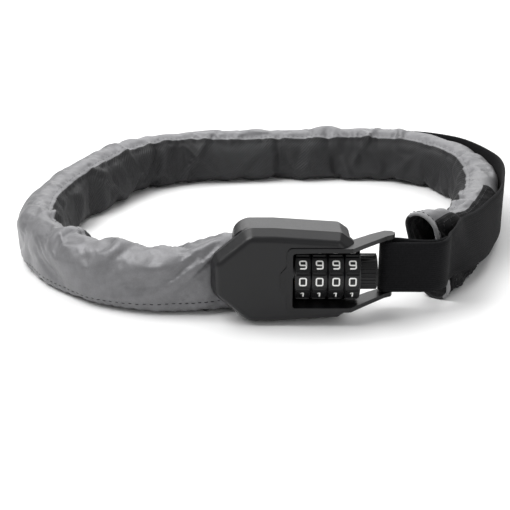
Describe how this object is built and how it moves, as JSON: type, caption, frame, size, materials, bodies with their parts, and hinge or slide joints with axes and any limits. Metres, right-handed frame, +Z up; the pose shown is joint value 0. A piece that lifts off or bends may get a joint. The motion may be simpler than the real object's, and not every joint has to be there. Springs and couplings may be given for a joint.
{
  "type": "wearable bicycle chain lock",
  "caption": "Ring-shaped chain lock in a fabric sleeve, with a combination lock head and a webbing strap that closes it round the waist.",
  "frame": {"origin": "centre of the object at the surface it lies on", "axes": "+Z up, +X from the sleeve side of the lock head towards its knob, the dials face -Y"},
  "size_m": [0.298, 0.2606, 0.05],
  "materials": {
    "ball_steel": "polished",
    "black_fabric": "black woven nylon",
    "brass": "machined",
    "chain_steel": "zinc plated",
    "clamp_plastic": "black",
    "dial_plastic": "satin black with white figures",
    "frame_plastic": "fine textured black",
    "hardened_steel": "ground",
    "hem_tape": "grey stitched hem",
    "housing_plastic": "fine textured black",
    "knob_plastic": "satin black",
    "reflective_fabric": "grey woven fabric with a soft reflective sheen",
    "screw_steel": "blackened",
    "webbing": "black hook-and-loop webbing"
  },
  "bodies": {
    "lock_head": {"backing_plate": "hardened_steel", "barrel_core": "hardened_steel", "chain_anchor_pin": "hardened_steel", "chain_head_links": "chain_steel", "detent_balls": "ball_steel", "front_housing": "housing_plastic", "housing_screws": "screw_steel", "keeper_block": "hardened_steel", "rear_housing": "housing_plastic", "sleeve_clamp": "clamp_plastic", "sleeve_inner_head": "black_fabric", "sleeve_outer_head": "reflective_fabric", "strap_frame": "frame_plastic"},
    "knob": {"end_knob": "knob_plastic", "locking_spindle": "hardened_steel", "knob_screw": "screw_steel", "cam_drum": "hardened_steel"},
    "bolt": {"bolt_carriage": "hardened_steel", "locking_bolt": "hardened_steel", "cam_follower": "hardened_steel"},
    "dial_1": {"dial_1": "dial_plastic", "code_sleeve_1": "brass"},
    "dial_2": {"dial_2": "dial_plastic", "code_sleeve_2": "brass"},
    "dial_3": {"dial_3": "dial_plastic", "code_sleeve_3": "brass"},
    "dial_4": {"dial_4": "dial_plastic", "code_sleeve_4": "brass"},
    "left_front_arm": {"sleeve_outer_left_front": "reflective_fabric", "sleeve_inner_left_front": "black_fabric", "chain_left_front": "chain_steel"},
    "left_back_arm": {"sleeve_outer_left_back": "reflective_fabric", "sleeve_inner_left_back": "black_fabric", "chain_left_back": "chain_steel"},
    "back_span": {"sleeve_outer_back": "reflective_fabric", "sleeve_inner_back": "black_fabric", "chain_back": "chain_steel"},
    "right_back_arm": {"sleeve_outer_right_back": "reflective_fabric", "sleeve_inner_right_back": "black_fabric", "chain_right_back": "chain_steel", "strap_rear": "webbing"},
    "right_front_arm": {"sleeve_outer_right_front": "reflective_fabric", "sleeve_inner_right_front": "black_fabric", "chain_right_front": "chain_steel", "sleeve_hem": "hem_tape", "strap_front": "webbing", "hook_patch": "webbing"}
  },
  "joints": [
    {"name": "dial_1_spin", "type": "hinge", "parent": "lock_head", "child": "dial_1", "pos_m": [0.01318, -0.11683, 0.025], "axis": [1, 0, 0], "continuous": true},
    {"name": "dial_2_spin", "type": "hinge", "parent": "lock_head", "child": "dial_2", "pos_m": [0.02128, -0.11683, 0.025], "axis": [1, 0, 0], "continuous": true},
    {"name": "dial_3_spin", "type": "hinge", "parent": "lock_head", "child": "dial_3", "pos_m": [0.02938, -0.11683, 0.025], "axis": [1, 0, 0], "continuous": true},
    {"name": "dial_4_spin", "type": "hinge", "parent": "lock_head", "child": "dial_4", "pos_m": [0.03748, -0.11683, 0.025], "axis": [1, 0, 0], "continuous": true},
    {"name": "knob_turn", "type": "hinge", "parent": "lock_head", "child": "knob", "pos_m": [0.04578, -0.11683, 0.025], "axis": [1, 0, 0], "range_deg": [0, 90]},
    {"name": "bolt_slide", "type": "slide", "parent": "lock_head", "child": "bolt", "axis": [-1, 0, 0], "range_m": [0, 0.0106]},
    {"name": "belt_flex", "type": "hinge", "parent": "lock_head", "child": "left_front_arm", "pos_m": [-0.05447, -0.10633, 0.018], "axis": [0, 0, 1], "range_deg": [-5, 8]},
    {"name": "left_knee", "type": "hinge", "parent": "left_front_arm", "child": "left_back_arm", "pos_m": [-0.13441, 0.00129, 0.018], "axis": [0, 0, 1], "range_deg": [-15.23, 9.52]},
    {"name": "back_left", "type": "hinge", "parent": "left_back_arm", "child": "back_span", "pos_m": [-0.05489, 0.10698, 0.018], "axis": [0, 0, 1], "range_deg": [-5.75, 9.21]},
    {"name": "back_right", "type": "hinge", "parent": "back_span", "child": "right_back_arm", "pos_m": [0.06574, 0.11751, 0.018], "axis": [0, 0, 1], "range_deg": [-3.71, 5.93]},
    {"name": "right_knee", "type": "hinge", "parent": "right_back_arm", "child": "right_front_arm", "pos_m": [0.12749, 0.00443, 0.018], "axis": [0, 0, 1], "range_deg": [-14.81, 9.26]}
  ],
  "couplings": [
    {"joint": "knob_turn", "follows": "bolt_slide", "rad_per_m": 148.1},
    {"joint": "left_knee", "follows": "belt_flex", "ratio": -1.9043},
    {"joint": "back_left", "follows": "belt_flex", "ratio": 1.1509},
    {"joint": "back_right", "follows": "belt_flex", "ratio": 0.741},
    {"joint": "right_knee", "follows": "belt_flex", "ratio": -1.8516}
  ]
}
